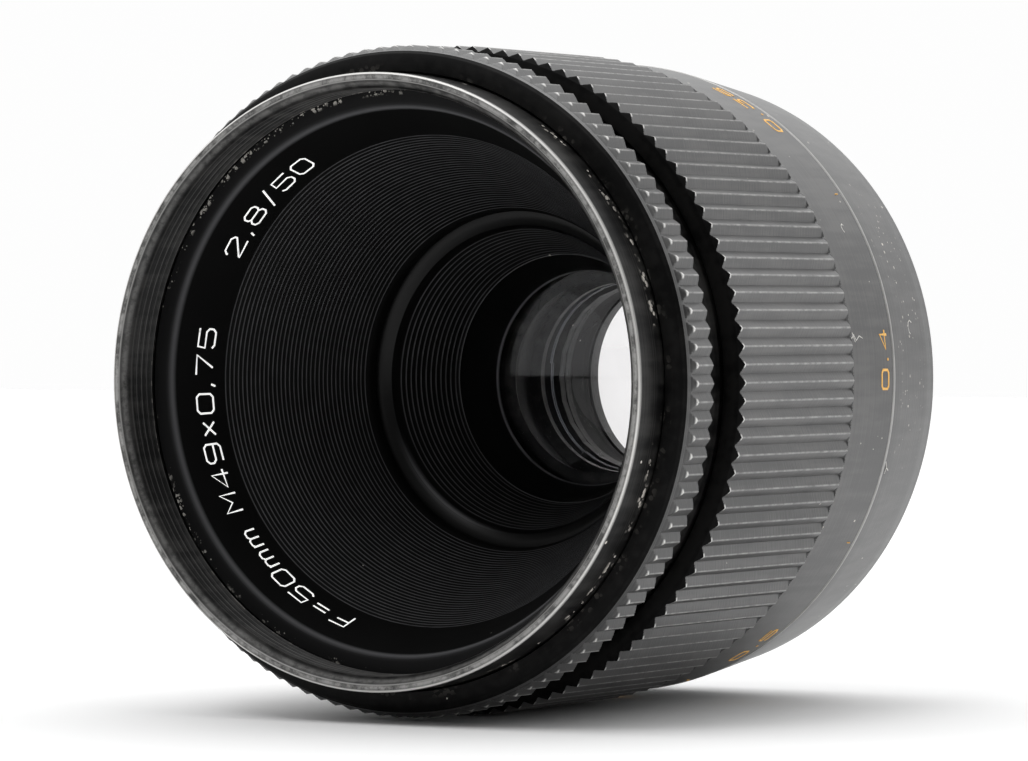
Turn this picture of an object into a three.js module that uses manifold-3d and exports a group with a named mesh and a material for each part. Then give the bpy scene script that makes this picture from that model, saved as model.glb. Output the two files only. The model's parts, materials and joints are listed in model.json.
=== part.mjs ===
// A 50 mm macro lens with a deep ribbed hood, lying on its side.
// Millimetres, +Z up. The optical axis runs along Y and the front of the lens faces -Y.
// Every y in this file is a distance back from the front rim, until the last lines place the part.
import * as THREE from "three";
import { mergeVertices } from "three/addons/utils/BufferGeometryUtils.js";
import Module from "manifold-3d";

const wasm = await Module();
wasm.setup();

// Driving sizes
const FILTER_BORE_R = 24.15; // M49 filter thread, measured to its crests
const RIM_R = 25.45;
const BARREL_R = 25.9;
const BARREL_BORE_R = 24.5;
const APERTURE_VALLEY_R = 27.15;
const APERTURE_CREST_R = 27.95;
const APERTURE_BORE_R = 25.65;
const GRIP_VALLEY_R = 27.4;
const GRIP_CREST_R = 28.15;
const GRIP_BORE_R = 26.2;
const SKIRT_R = 27.65;
const RIDGES = 118;
const JOINT_Y = 40.6; // where the turning skirt meets the fixed barrel
const REAR_Y = 51.3; // seating face of the mount
const TAIL_END_Y = 55.8;
const REAR_R = 26.4;
const MOUNT_THREAD_R = 21; // M42 x 1
const TAIL_BORE_R = 19.3;
const RUNNING_GAP = 0.3;

// Hood
const HOOD_FRONT = { r: 22.58, y: 5.18 };
const HOOD_REAR = { r: 14.45, y: 23.8 };
const HOOD_WALL = 0.87;
const HOOD_BAND = { r: 22.3, frontY: 9.2, rearY: 14 }; // thick stretch that stiffens the cone

// Glass
const FRONT_GLASS_R = 10.9;
const SECOND_GLASS_R = 8.8;
const REAR_GLASS_R = 8.6;

// Iris
const BLADES = 6;
const BLADE_INNER_R = 8;
const BLADE_OUTER_R = 12.7;
const BLADE_THICKNESS = 0.12;
const BLADE_PITCH = 0.2;
const BLADE_FRONT_Y = 44.8;
const BLADE_TAIL = degrees(-8);
const BLADE_TIP = degrees(112);
const BLADE_TURN = degrees(27);
const PIVOT_R = 13.6;
const PIVOT_PIN_R = 0.4;
const DRIVE_ARM = 2;
const DRIVE_PIN_R = 0.35;
const IRIS_HOLE_R = 7.9;
const PIN_CLEARANCE = 0.13;
const APERTURE_TURN = degrees(45);
const DRIVE_ANGLE = degrees(90);

// Smoothness
const OUTER_SIDES = 44;
const MIDDLE_SIDES = 32;
const INNER_SIDES = 24;
const PIN_SIDES = 6;

function degrees(value) {
  return (value * Math.PI) / 180;
}

// A ring or a disc turned about the optical axis. Points are [radius, y].
function turned(points, sides = INNER_SIDES) {
  const area = points.reduce((sum, [r, y], i) => {
    const [nextR, nextY] = points[(i + 1) % points.length];
    return sum + r * nextY - nextR * y;
  }, 0);
  const ordered = area > 0 ? [...points] : [...points].reverse();
  const outline = [...ordered, ordered[0]].map(([r, y]) => new THREE.Vector2(r, y));
  return new THREE.LatheGeometry(outline, sides);
}

function tube(innerR, outerR, frontY, rearY, sides = INNER_SIDES) {
  return turned(
    [
      [innerR, frontY],
      [outerR, frontY],
      [outerR, rearY],
      [innerR, rearY],
    ],
    sides,
  );
}

// A flat outline in the X-Z plane, made solid from frontY to rearY.
function plate(shape, frontY, rearY, curveSegments = 12) {
  const depth = rearY - frontY;
  const geometry = new THREE.ExtrudeGeometry(shape, { depth, bevelEnabled: false, curveSegments });
  return geometry.rotateX(Math.PI / 2).translate(0, rearY, 0);
}

function sector(innerR, outerR, fromAngle, toAngle, frontY, rearY, curveSegments = 12) {
  const shape = new THREE.Shape();
  shape.absarc(0, 0, outerR, fromAngle, toAngle, false);
  shape.absarc(0, 0, innerR, toAngle, fromAngle, true);
  return plate(shape, frontY, rearY, curveSegments);
}

// A bar whose outline is given as [radius, y], with its width across the radius.
function radialBar(points, width, angle) {
  const shape = new THREE.Shape(points.map(([r, y]) => new THREE.Vector2(r, y)));
  const geometry = new THREE.ExtrudeGeometry(shape, { depth: width, bevelEnabled: false });
  return geometry.translate(0, 0, -width / 2).rotateY(-angle);
}

function axialPin(pinR, r, angle, frontY, rearY, sides = PIN_SIDES) {
  const geometry = new THREE.CylinderGeometry(pinR, pinR, rearY - frontY, sides);
  return geometry.translate(r * Math.cos(angle), (frontY + rearY) / 2, r * Math.sin(angle));
}

function radialPin(pinR, angle, y, innerR, outerR, sides = PIN_SIDES) {
  const geometry = new THREE.CylinderGeometry(pinR, pinR, outerR - innerR, sides);
  geometry.rotateZ(-Math.PI / 2).translate((innerR + outerR) / 2, y, 0);
  return geometry.rotateY(-angle);
}

function solid(geometry) {
  const bare = geometry.clone();
  bare.deleteAttribute("normal");
  bare.deleteAttribute("uv");
  const merged = mergeVertices(bare, 1e-4);
  return new wasm.Manifold(
    new wasm.Mesh({
      numProp: 3,
      vertProperties: new Float32Array(merged.attributes.position.array),
      triVerts: new Uint32Array(merged.index.array),
    }),
  );
}

function backToGeometry(made) {
  const mesh = made.getMesh();
  const geometry = new THREE.BufferGeometry();
  geometry.setAttribute("position", new THREE.BufferAttribute(mesh.vertProperties, 3));
  geometry.setIndex(new THREE.BufferAttribute(mesh.triVerts, 1));
  return geometry;
}

function joined(...geometries) {
  return backToGeometry(wasm.Manifold.union(geometries.map(solid)));
}

function cut(geometry, cutters) {
  const holes = wasm.Manifold.union(cutters.map(solid));
  return backToGeometry(solid(geometry).subtract(holes));
}

// A ring of straight V ridges, with a valley pointing straight down.
function ridgedRing(boreR, valleyR, crestR, frontY, rearY) {
  const shape = new THREE.Shape();
  for (let i = 0; i < 2 * RIDGES; i++) {
    const angle = -Math.PI / 2 + (i * Math.PI) / RIDGES;
    const r = i % 2 ? crestR : valleyR;
    const place = [r * Math.cos(angle), r * Math.sin(angle)];
    if (i) shape.lineTo(...place);
    else shape.moveTo(...place);
  }
  shape.holes.push(new THREE.Path().absarc(0, 0, boreR, 0, 2 * Math.PI, true));
  return plate(shape, frontY, rearY, OUTER_SIDES / 2);
}

// Points of a spherical face from the rim at edgeR to the axis; a positive radius bulges forward.
function lensFace(vertexY, radius, edgeR, steps = 4) {
  const points = [];
  for (let i = steps; i >= 0; i--) {
    const r = (edgeR * i) / steps;
    const sag = Math.sign(radius) * (Math.abs(radius) - Math.sqrt(radius * radius - r * r));
    points.push([r, vertexY + sag]);
  }
  return points;
}

const FINISHES = {
  blackAnodised: { color: 0x1b1b1d, roughness: 0.45, metalness: 0.6 },
  mattBlack: { color: 0x0c0c0d, roughness: 0.85, metalness: 0.1 },
  satinAluminium: { color: 0x9a9ca0, roughness: 0.4, metalness: 0.9 },
  brass: { color: 0xb08d4a, roughness: 0.35, metalness: 0.9 },
  steel: { color: 0x8c8f94, roughness: 0.3, metalness: 1 },
  blade: { color: 0x26282b, roughness: 0.5, metalness: 0.7 },
  glass: { color: 0xb9c4d8, roughness: 0.02, metalness: 0, transparent: true, opacity: 0.35 },
};

const lens = new THREE.Group();

function add(name, geometry, finish) {
  const mesh = new THREE.Mesh(geometry, new THREE.MeshStandardMaterial(FINISHES[finish]));
  mesh.name = name;
  lens.add(mesh);
  return mesh;
}

// Fixed barrel: its nose is a bearing for the helicoid sleeve, and a small lug on the nose is the focus stop.
const HIDDEN_SCREW_ANGLES = [100, 180, 260].map(degrees);
const NOSE_Y = 39;
const COUNTERBORE_Y = 46.7;
const MOUNT_SEAT_R = 25.35;
const STOP_ANGLE = degrees(-90);
const MOUNT_SCREW_Y = 50.2;
const barrelShell = turned(
  [
    [24.85, NOSE_Y],
    [BARREL_R + 0.1, NOSE_Y],
    [BARREL_R + 0.1, JOINT_Y + RUNNING_GAP],
    [27.7, JOINT_Y + RUNNING_GAP],
    [REAR_R + 0.2, REAR_Y - 0.5],
    [REAR_R - 0.1, REAR_Y],
    [MOUNT_SEAT_R, REAR_Y],
    [MOUNT_SEAT_R, COUNTERBORE_Y],
    [24.85, COUNTERBORE_Y],
  ],
  OUTER_SIDES,
);
const stopLug = sector(24.95, 25.9, STOP_ANGLE - degrees(2), STOP_ANGLE + degrees(2), 37.6, NOSE_Y + 0.5, 2);
const mountScrewHoles = HIDDEN_SCREW_ANGLES.map((angle) => radialPin(0.6, angle, MOUNT_SCREW_Y, 24, 28, 10));
add("base_barrel", cut(joined(barrelShell, stopLug), mountScrewHoles), "blackAnodised");
HIDDEN_SCREW_ANGLES.forEach((angle, i) =>
  add(`mount_screw_${i + 1}`, radialPin(0.45, angle, MOUNT_SCREW_Y, 25.3, 26.2), "steel"),
);

// Mount ring with the M42 tail, and the straight key that stops the lens block from turning.
const KEY_ANGLE = degrees(270);
const KEY_SCREW_R = 21.75;
const mountRing = turned(
  [
    [TAIL_BORE_R, 49.9],
    [MOUNT_SEAT_R - 0.25, 49.9],
    [MOUNT_SEAT_R - 0.25, REAR_Y],
    [MOUNT_THREAD_R, REAR_Y],
    [MOUNT_THREAD_R, TAIL_END_Y - 0.5],
    [MOUNT_THREAD_R - 0.5, TAIL_END_Y],
    [TAIL_BORE_R, TAIL_END_Y],
  ],
  OUTER_SIDES,
);
const keyScrewHoles = [
  axialPin(0.55, KEY_SCREW_R, KEY_ANGLE, 49, 52, 10),
  axialPin(0.7, KEY_SCREW_R, KEY_ANGLE, 50.6, 52, 10),
];
add("mount_ring", cut(mountRing, keyScrewHoles), "satinAluminium");
const keyBar = radialBar([[20.9, 33], [22.55, 33], [22.55, 49.6], [20.9, 49.6]], 3, KEY_ANGLE);
add("guide_key", cut(keyBar, [axialPin(0.55, KEY_SCREW_R, KEY_ANGLE, 47, 50, 10)]), "steel");
add(
  "guide_key_screw",
  joined(
    axialPin(0.4, KEY_SCREW_R, KEY_ANGLE, 47.4, 50.9),
    axialPin(0.58, KEY_SCREW_R, KEY_ANGLE, 50.75, 51.15),
  ),
  "steel",
);
add("rear_baffle", tube(12.6, TAIL_BORE_R - 0.3, 51.6, 52.1), "mattBlack");

// Focus ring: ridged grip with a plain scale skirt, screwed to the helicoid sleeve inside it.
const SLEEVE_BORE_R = 23.1;
const GRIP_SCREW_Y = 35.6;
const gripRidges = ridgedRing(GRIP_BORE_R, GRIP_VALLEY_R, GRIP_CREST_R, 13, 33);
const gripLip = turned(
  [
    [GRIP_BORE_R, 12.3],
    [26.9, 12.3],
    [GRIP_VALLEY_R - 0.05, 12.85],
    [GRIP_VALLEY_R - 0.05, 13.1],
    [GRIP_BORE_R, 13.1],
  ],
  OUTER_SIDES,
);
const scaleSkirt = turned(
  [
    [GRIP_BORE_R, 32.9],
    [GRIP_VALLEY_R - 0.05, 32.9],
    [GRIP_VALLEY_R - 0.05, 33.1],
    [SKIRT_R, 33.3],
    [SKIRT_R, JOINT_Y],
    [GRIP_BORE_R, JOINT_Y],
  ],
  OUTER_SIDES,
);
const gripScrewHoles = HIDDEN_SCREW_ANGLES.map((angle) => radialPin(0.85, angle, GRIP_SCREW_Y, 24.75, 29, 10));
add("focus_grip", cut(joined(gripLip, gripRidges, scaleSkirt), gripScrewHoles), "blackAnodised");

const sleeveShell = turned(
  [
    [SLEEVE_BORE_R, 32.5],
    [24.6, 32.5],
    [24.6, 34],
    [26, 34],
    [26, 37.3],
    [24.6, 37.3],
    [24.6, 46.9],
    [24.1, 46.9],
    [24.1, 49.5],
    [SLEEVE_BORE_R, 49.5],
  ],
  MIDDLE_SIDES,
);
const sleeveLug = sector(24.4, 25.9, STOP_ANGLE - degrees(11), STOP_ANGLE - degrees(3), 37, 38.6, 2);
add("helicoid_sleeve", cut(joined(sleeveShell, sleeveLug), gripScrewHoles), "brass");
add("sleeve_lock_ring", tube(24.35, 25.1, 47.1, 48.6, MIDDLE_SIDES), "brass");
HIDDEN_SCREW_ANGLES.forEach((angle, i) =>
  add(`grip_set_screw_${i + 1}`, radialPin(0.65, angle, GRIP_SCREW_Y, 24.95, 27.45), "steel"),
);

// Front barrel: filter thread at the front, plain skirt that slides in the grip.
const APERTURE_SCREW_Y = 6.7;
const DETENT_ANGLE = degrees(200);
const BARREL_SCREW_R = 25.2;
const BARREL_SCREW_ANGLES = [30, 150, 270].map(degrees);
const barrelScrewHoles = BARREL_SCREW_ANGLES.map((angle) => axialPin(0.5, BARREL_SCREW_R, angle, 28, 33));
const frontBarrel = turned(
  [
    [FILTER_BORE_R, 0.6],
    [RIM_R - 0.7, 0],
    [RIM_R, 0],
    [RIM_R, 8.55],
    [BARREL_R, 8.55],
    [BARREL_R, 29.9],
    [BARREL_BORE_R, 29.9],
    [BARREL_BORE_R, 4.25],
    [FILTER_BORE_R, 4.25],
  ],
  OUTER_SIDES,
);
const SLOT_SPARE = degrees(3.5);
const screwSlot = sector(
  24,
  26,
  DRIVE_ANGLE - SLOT_SPARE,
  DRIVE_ANGLE + APERTURE_TURN + SLOT_SPARE,
  5.9,
  7.5,
);
const detentHole = radialPin(0.75, DETENT_ANGLE, APERTURE_SCREW_Y, 24, 26, 10);
add("front_barrel", cut(frontBarrel, [screwSlot, detentHole, ...barrelScrewHoles]), "blackAnodised");
BARREL_SCREW_ANGLES.forEach((angle, i) =>
  add(`barrel_screw_${i + 1}`, axialPin(0.35, BARREL_SCREW_R, angle, 28.3, 31.6), "steel"),
);
const DETENT_BALL_R = 24.95; // how far the ball stands from the axis
const ball = new THREE.SphereGeometry(0.6, 10, 8);
ball.translate(DETENT_BALL_R, APERTURE_SCREW_Y, 0).rotateY(-DETENT_ANGLE);
add("detent_ball", ball, "steel");
const SPRING_HALF = degrees(16);
const detentSpring = sector(23.95, 24.2, DETENT_ANGLE - SPRING_HALF, DETENT_ANGLE + SPRING_HALF, 6.1, 7.3);
add("detent_spring", detentSpring, "steel");

// Hood: one straight cone from the lettering land down to the lens block.
const hoodSlope = (HOOD_FRONT.r - HOOD_REAR.r) / (HOOD_REAR.y - HOOD_FRONT.y);
const hoodOuterAt = (y) => HOOD_FRONT.r - (y - HOOD_FRONT.y) * hoodSlope + HOOD_WALL;
const hood = turned(
  [
    [HOOD_FRONT.r, HOOD_FRONT.y],
    [HOOD_FRONT.r + 0.4, 4.55],
    [24.25, 4.55],
    [24.25, 5.7],
    [hoodOuterAt(5.7), 5.7],
    [hoodOuterAt(HOOD_BAND.frontY), HOOD_BAND.frontY],
    [HOOD_BAND.r, HOOD_BAND.frontY],
    [HOOD_BAND.r, HOOD_BAND.rearY],
    [hoodOuterAt(HOOD_BAND.rearY), HOOD_BAND.rearY],
    [hoodOuterAt(24.3), 24.3],
    [HOOD_REAR.r, 24.3],
    [HOOD_REAR.r, HOOD_REAR.y],
  ],
  MIDDLE_SIDES,
);
add("hood_cone", hood, "mattBlack");

// Carrier: web that holds the lens block, and the threaded tube that the helicoid sleeve drives.
const KEY_SLOT_WIDTH = 3.4;
const carrierShell = turned(
  [
    [15.25, 30.2],
    [BARREL_R, 30.2],
    [BARREL_R, 31.8],
    [SLEEVE_BORE_R - RUNNING_GAP, 31.8],
    [SLEEVE_BORE_R - RUNNING_GAP, 49],
    [21.2, 49],
    [21.2, 31.8],
    [15.25, 31.8],
  ],
  MIDDLE_SIDES,
);
const keySlot = radialBar([[20, 32.6], [24, 32.6], [24, 50], [20, 50]], KEY_SLOT_WIDTH, KEY_ANGLE);
const FORK_SPARE = degrees(7);
const forkSlot = sector(
  16.9,
  19.1,
  DRIVE_ANGLE - FORK_SPARE,
  DRIVE_ANGLE + APERTURE_TURN + FORK_SPARE,
  29,
  33,
);
add("lens_carrier", cut(carrierShell, [keySlot, forkSlot, ...barrelScrewHoles]), "satinAluminium");

// Front half of the lens block.
add(
  "front_retainer",
  turned([
    [13.12, 25.5],
    [14.2, 24.6],
    [14.9, 24.6],
    [14.9, 25.3],
    [13.4, 25.3],
    [13.4, 37],
    [9.4, 37],
    [9.4, 36.8],
  ]),
  "mattBlack",
);
add(
  "front_cell",
  turned([
    [13.6, 25.6],
    [15, 25.6],
    [15, 42.6],
    [9.95, 42.6],
    [9.95, 44.5],
    [8, 44.5],
    [8, 44.1],
    [9, 44.1],
    [9, 39.65],
    [11.1, 39.65],
    [11.1, 37.2],
    [13.6, 37.2],
  ]),
  "blackAnodised",
);
add("block_nut", tube(15.2, 16.6, 32, 33.6), "brass");
add("front_element", turned([...lensFace(34.9, 20.4, FRONT_GLASS_R), [0, 38.9], [FRONT_GLASS_R, 38.9]]), "glass");
add("spacer_ring", tube(8.2, 10.9, 39.05, 39.6), "mattBlack");
add(
  "second_element",
  turned([...lensFace(40.9, -34, SECOND_GLASS_R), ...lensFace(42.3, 24, SECOND_GLASS_R).reverse()]),
  "glass",
);

// Iris: housing with six pivot holes, a cam ring with six slots, and six blades in staggered layers.
const bladeAngles = Array.from({ length: BLADES }, (_, i) => (i * 2 * Math.PI) / BLADES);
const REAR_CELL_SCREW_R = 11.2;
const rearCellScrewAngles = [30, 150, 270].map(degrees);
const TAB_HALF = degrees(4);
const housingShell = turned([
  [15.1, 42.9],
  [15.9, 42.9],
  [15.9, 46.7],
  [IRIS_HOLE_R, 46.7],
  [IRIS_HOLE_R, 46.1],
  [15.1, 46.1],
]);
const pivotHoles = bladeAngles.map((angle) => axialPin(PIVOT_PIN_R + PIN_CLEARANCE, PIVOT_R, angle, 46, 47, 10));
const tabNotch = sector(
  14.8,
  16.2,
  DRIVE_ANGLE - TAB_HALF - degrees(2),
  DRIVE_ANGLE + APERTURE_TURN + TAB_HALF + degrees(2),
  42.5,
  44.8,
);
const rearCellScrewHoles = rearCellScrewAngles.map((angle) =>
  axialPin(0.65, REAR_CELL_SCREW_R, angle, 46, 48.5, 10),
);
add("iris_housing", cut(housingShell, [tabNotch, ...pivotHoles, ...rearCellScrewHoles]), "blackAnodised");
add("iris_retaining_ring", tube(12.3, 14.85, 42.95, 43.6), "blackAnodised");

// Where a blade's drive pin stands, seen from that blade's own pivot angle, after the blade turns by turn.
function drivePin(turn) {
  const direction = -Math.PI / 2 - BLADE_TURN / 2 + turn;
  return new THREE.Vector2(PIVOT_R + DRIVE_ARM * Math.cos(direction), DRIVE_ARM * Math.sin(direction));
}

// The slot is the pin's path as the turning cam ring sees it, widened by the pin's clearance.
function camSlot(bladeAngle) {
  const steps = 6;
  const halfWidth = DRIVE_PIN_R + PIN_CLEARANCE;
  const path = [];
  for (let i = 0; i <= steps; i++) {
    const part = i / steps;
    const seenAngle = bladeAngle - part * APERTURE_TURN;
    path.push(drivePin(part * BLADE_TURN).rotateAround(new THREE.Vector2(), seenAngle));
  }
  const alongAt = (i) => path[Math.min(i + 1, steps)].clone().sub(path[Math.max(i - 1, 0)]).normalize();
  const sideOf = (i, turn) => {
    const across = alongAt(i).rotateAround(new THREE.Vector2(), turn);
    return path[i].clone().addScaledVector(across, halfWidth);
  };
  const outline = [];
  for (let i = 0; i <= steps; i++) outline.push(sideOf(i, -Math.PI / 2));
  for (let turn = -1; turn <= 1; turn++) outline.push(sideOf(steps, (turn * Math.PI) / 4));
  for (let i = steps; i >= 0; i--) outline.push(sideOf(i, Math.PI / 2));
  for (let turn = 3; turn <= 5; turn++) outline.push(sideOf(0, (turn * Math.PI) / 4));
  return plate(new THREE.Shape(outline), 43, 45);
}
const camTab = sector(14.6, 17.1, DRIVE_ANGLE - TAB_HALF, DRIVE_ANGLE + TAB_HALF, 43.9, 44.5, 3);
const camBlank = joined(tube(12.2, 14.9, 43.9, 44.5), camTab);
add("iris_cam_ring", cut(camBlank, bladeAngles.map(camSlot)), "steel");

bladeAngles.forEach((angle, i) => {
  const frontY = BLADE_FRONT_Y + i * BLADE_PITCH;
  const rearY = frontY + BLADE_THICKNESS;
  const pin = drivePin(0);
  const leaf = sector(BLADE_INNER_R, BLADE_OUTER_R, BLADE_TAIL, BLADE_TIP, frontY, rearY, 7);
  const ear = plate(
    new THREE.Shape([
      new THREE.Vector2(12.3, -1.7),
      new THREE.Vector2(pin.x + 0.1, pin.y - 0.55),
      new THREE.Vector2(pin.x + 0.65, pin.y - 0.1),
      new THREE.Vector2(14.3, -0.3),
      new THREE.Vector2(14.2, 0.5),
      new THREE.Vector2(12.4, 1.3),
    ]),
    frontY,
    rearY,
  );
  const pivot = axialPin(PIVOT_PIN_R, PIVOT_R, 0, frontY, 46.55);
  const drive = axialPin(DRIVE_PIN_R, pin.length(), pin.angle(), 44, rearY);
  add(`iris_blade_${i + 1}`, joined(leaf, ear, pivot, drive).rotateY(-angle), "blade");
});

// Rear half of the lens block: a cemented pair in a screwed-on cell.
add(
  "rear_cell",
  cut(
    turned([
      [8, 47],
      [15.9, 47],
      [15.9, 48],
      [10.4, 48],
      [10.4, 54.2],
      [8.8, 54.2],
      [8.8, 47.7],
      [8, 47.7],
    ]),
    rearCellScrewHoles,
  ),
  "blackAnodised",
);
rearCellScrewAngles.forEach((angle, i) =>
  add(
    `rear_cell_screw_${i + 1}`,
    joined(
      axialPin(0.45, REAR_CELL_SCREW_R, angle, 46.3, 48.4),
      axialPin(0.75, REAR_CELL_SCREW_R, angle, 48.2, 48.8),
    ),
    "steel",
  ),
);
add(
  "third_element",
  turned([[0, 47.9], [REAR_GLASS_R, 47.9], ...lensFace(49.15, 22, REAR_GLASS_R)]),
  "glass",
);
add(
  "fourth_element",
  turned([...lensFace(49.25, 22, REAR_GLASS_R), ...lensFace(53.4, -25, REAR_GLASS_R).reverse()]),
  "glass",
);
add("rear_retainer", tube(7.9, 8.55, 52.3, 53.9), "blackAnodised");

// Aperture ring: narrow ridged ring in front, joined to the cam ring by a long fork inside the barrel.
const apertureShoulder = turned(
  [
    [APERTURE_BORE_R, 3.8],
    [27.07, 4.2],
    [APERTURE_CREST_R - 0.1, 5.2],
    [APERTURE_VALLEY_R - 0.05, 5.3],
    [APERTURE_VALLEY_R - 0.05, 5.5],
    [APERTURE_BORE_R, 5.5],
  ],
  OUTER_SIDES,
);
const apertureRidges = ridgedRing(APERTURE_BORE_R, APERTURE_VALLEY_R, APERTURE_CREST_R, 5.4, 8.1);
const apertureScrewHole = radialPin(0.75, DRIVE_ANGLE, APERTURE_SCREW_Y, 24, 29, 10);
add("aperture_ring", cut(joined(apertureShoulder, apertureRidges), [apertureScrewHole]), "blackAnodised");
add("aperture_screw", radialPin(0.55, DRIVE_ANGLE, APERTURE_SCREW_Y, 24.35, 27.2), "steel");
add(
  "aperture_fork",
  radialBar(
    [
      [23.35, 6.1],
      [24.1, 6.1],
      [24.1, 29.6],
      [18.6, 29.6],
      [18.6, 45],
      [17.4, 45],
      [17.4, 28.4],
      [22.95, 28.4],
      [22.95, 8.2],
      [23.35, 7],
    ],
    3,
    DRIVE_ANGLE,
  ),
  "steel",
);

// The lens lies on two neighbouring grip ridges, with its middle over the origin.
lens.position.set(0, -TAIL_END_Y / 2, GRIP_CREST_R * Math.cos(Math.PI / RIDGES));

export default lens;
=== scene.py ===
"""A 50 mm macro lens with a deep ribbed hood, lying on its side on a white table."""

import json
import math
import random

import bpy
from mathutils import Matrix, Vector


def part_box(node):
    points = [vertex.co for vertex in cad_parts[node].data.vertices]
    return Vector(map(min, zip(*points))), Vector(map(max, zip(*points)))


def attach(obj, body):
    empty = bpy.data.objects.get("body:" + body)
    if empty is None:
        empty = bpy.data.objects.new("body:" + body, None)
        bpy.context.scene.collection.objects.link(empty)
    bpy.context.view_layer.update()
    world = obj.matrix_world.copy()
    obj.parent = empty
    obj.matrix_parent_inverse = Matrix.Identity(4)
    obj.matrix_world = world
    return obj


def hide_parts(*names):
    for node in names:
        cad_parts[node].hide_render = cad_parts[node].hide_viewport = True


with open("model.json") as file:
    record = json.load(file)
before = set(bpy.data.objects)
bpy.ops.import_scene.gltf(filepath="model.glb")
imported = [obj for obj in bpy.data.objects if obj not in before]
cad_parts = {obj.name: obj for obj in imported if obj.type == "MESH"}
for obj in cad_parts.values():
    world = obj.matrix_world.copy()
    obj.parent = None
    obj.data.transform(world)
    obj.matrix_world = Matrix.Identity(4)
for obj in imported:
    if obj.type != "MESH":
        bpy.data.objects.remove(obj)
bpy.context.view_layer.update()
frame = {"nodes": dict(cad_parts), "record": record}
nodes = frame["nodes"]

# Camera. It stands a little above the optical axis and looks in at the front of the lens, 30 degrees off
# that axis. Places along the lens are distances back from its front rim, and the axis is the front tube's.
MM = 0.001
tube_low, tube_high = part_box("front_barrel")
RIM_Y = tube_low.y
AXIS_Z = (tube_low.z + tube_high.z) / 2
CAMERA_FROM_RIM = Vector((233.75, -374.61, 5.53)) * MM
CAMERA_AZIMUTH = math.radians(30.417)
CAMERA_DROP = math.radians(0.697)
CAMERA_LENS = 188.53
SENSOR_WIDTH = 36

camera_data = bpy.data.cameras.new("camera")
camera_data.sensor_width = SENSOR_WIDTH
camera_data.lens = CAMERA_LENS
camera_data.clip_start = 0.01
camera = bpy.data.objects.new("camera", camera_data)
camera.location = Vector((0, RIM_Y, AXIS_Z)) + CAMERA_FROM_RIM
camera.rotation_euler = (math.pi / 2 - CAMERA_DROP, 0, CAMERA_AZIMUTH)
bpy.context.scene.collection.objects.link(camera)
bpy.context.scene.camera = camera


# Studio. A white table in a bright soft room, which goes dark on the side where the camera stands,
# so that faces turned to the camera stay black while the flanks of the lens mirror the white beyond it.
class Value:
    """A socket of a shader node. Python's operators on it add Math nodes."""

    def __init__(self, finish, socket):
        self.finish = finish
        self.socket = socket

    def other(self, name):
        return Value(self.finish, self.socket.node.outputs[name])

    def math(self, operation, *values):
        return self.finish.node("Math", {"operation": operation}, dict(enumerate(values)))

    def __add__(self, other):
        return self.math("ADD", self, other)

    def __sub__(self, other):
        return self.math("SUBTRACT", self, other)

    def __rsub__(self, other):
        return self.math("SUBTRACT", other, self)

    def __mul__(self, other):
        return self.math("MULTIPLY", self, other)

    def __pow__(self, other):
        return self.math("POWER", self, other)

    def __gt__(self, other):
        return self.math("GREATER_THAN", self, other)

    def __lt__(self, other):
        return self.math("LESS_THAN", self, other)

    def __or__(self, other):
        return self.math("MAXIMUM", self, other)

    __radd__ = __add__
    __rmul__ = __mul__

    def between(self, low, high):
        """0 up to low, 1 from high on, and a smooth rise from one to the other."""
        settings = {"interpolation_type": "SMOOTHSTEP"}
        return self.finish.node("MapRange", settings, {"Value": self, "From Min": low, "From Max": high})

    def near(self, middle, reach):
        """1 at middle, falling to 0 at reach on either side of it."""
        return 1 - self.math("ABSOLUTE", self - middle).between(0, reach)


class Finish:
    """A material, or the world, with one method that adds a node of any type."""

    def __init__(self, owner):
        self.owner = owner
        owner.use_nodes = True
        self.tree = owner.node_tree

    def node(self, kind, settings=None, inputs=None, output=0):
        made = self.tree.nodes.new("ShaderNode" + kind)
        for name, setting in (settings or {}).items():
            setattr(made, name, setting)
        for name, given in (inputs or {}).items():
            if isinstance(given, Value):
                self.tree.links.new(given.socket, made.inputs[name])
            else:
                made.inputs[name].default_value = given
        return Value(self, made.outputs[output])

    def mixed(self, first, second, share):
        """Colour first where share is 0 and second where it is 1."""
        return self.node("Mix", {"data_type": "RGBA"}, {0: share, 6: first, 7: second}, output=2)


DARK_SIDE = 0.04
BRIGHT_SIDE = 0.945
CEILING = 0.6
world = bpy.data.worlds.new("soft room")
bpy.context.scene.world = world
room = Finish(world)
looking = Vector((-math.sin(CAMERA_AZIMUTH), math.cos(CAMERA_AZIMUTH), 0))
direction = room.node("TexCoord", output="Generated")
ahead = room.node("VectorMath", {"operation": "DOT_PRODUCT"}, {0: direction, 1: looking}, output="Value")
height = room.node("SeparateXYZ", None, {0: direction}, output="Z")
brightness = DARK_SIDE + BRIGHT_SIDE * ahead.between(-0.6, 0.1) + CEILING * height.between(0.1, 0.9)
room.tree.nodes["Background"].inputs["Color"].default_value = (1, 1, 1, 1)
room.tree.links.new(brightness.socket, room.tree.nodes["Background"].inputs["Strength"])

bpy.context.scene.view_settings.view_transform = "Standard"


def add_softbox(name, place, target, width, watts):
    light = bpy.data.lights.new(name, "AREA")
    light.shape = "SQUARE"
    light.size = width
    light.energy = watts
    lamp = bpy.data.objects.new(name, light)
    lamp.location = place
    lamp.rotation_euler = (Vector(target) - Vector(place)).to_track_quat("-Z", "Y").to_euler()
    bpy.context.scene.collection.objects.link(lamp)


add_softbox("overhead_softbox", (-0.1, 0.25, 1.1), (0, 0, 0), 0.9, 2.5)
add_softbox("front_softbox", (-0.1, -0.6, 0.9), (0, 0, 0.03), 0.3, 1.5)


def deselect_all():
    if bpy.context.object and bpy.context.object.mode != "OBJECT":
        bpy.ops.object.mode_set(mode="OBJECT")
    bpy.ops.object.select_all(action="DESELECT")


def material(name):
    return Finish(bpy.data.materials.new(name))


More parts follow.
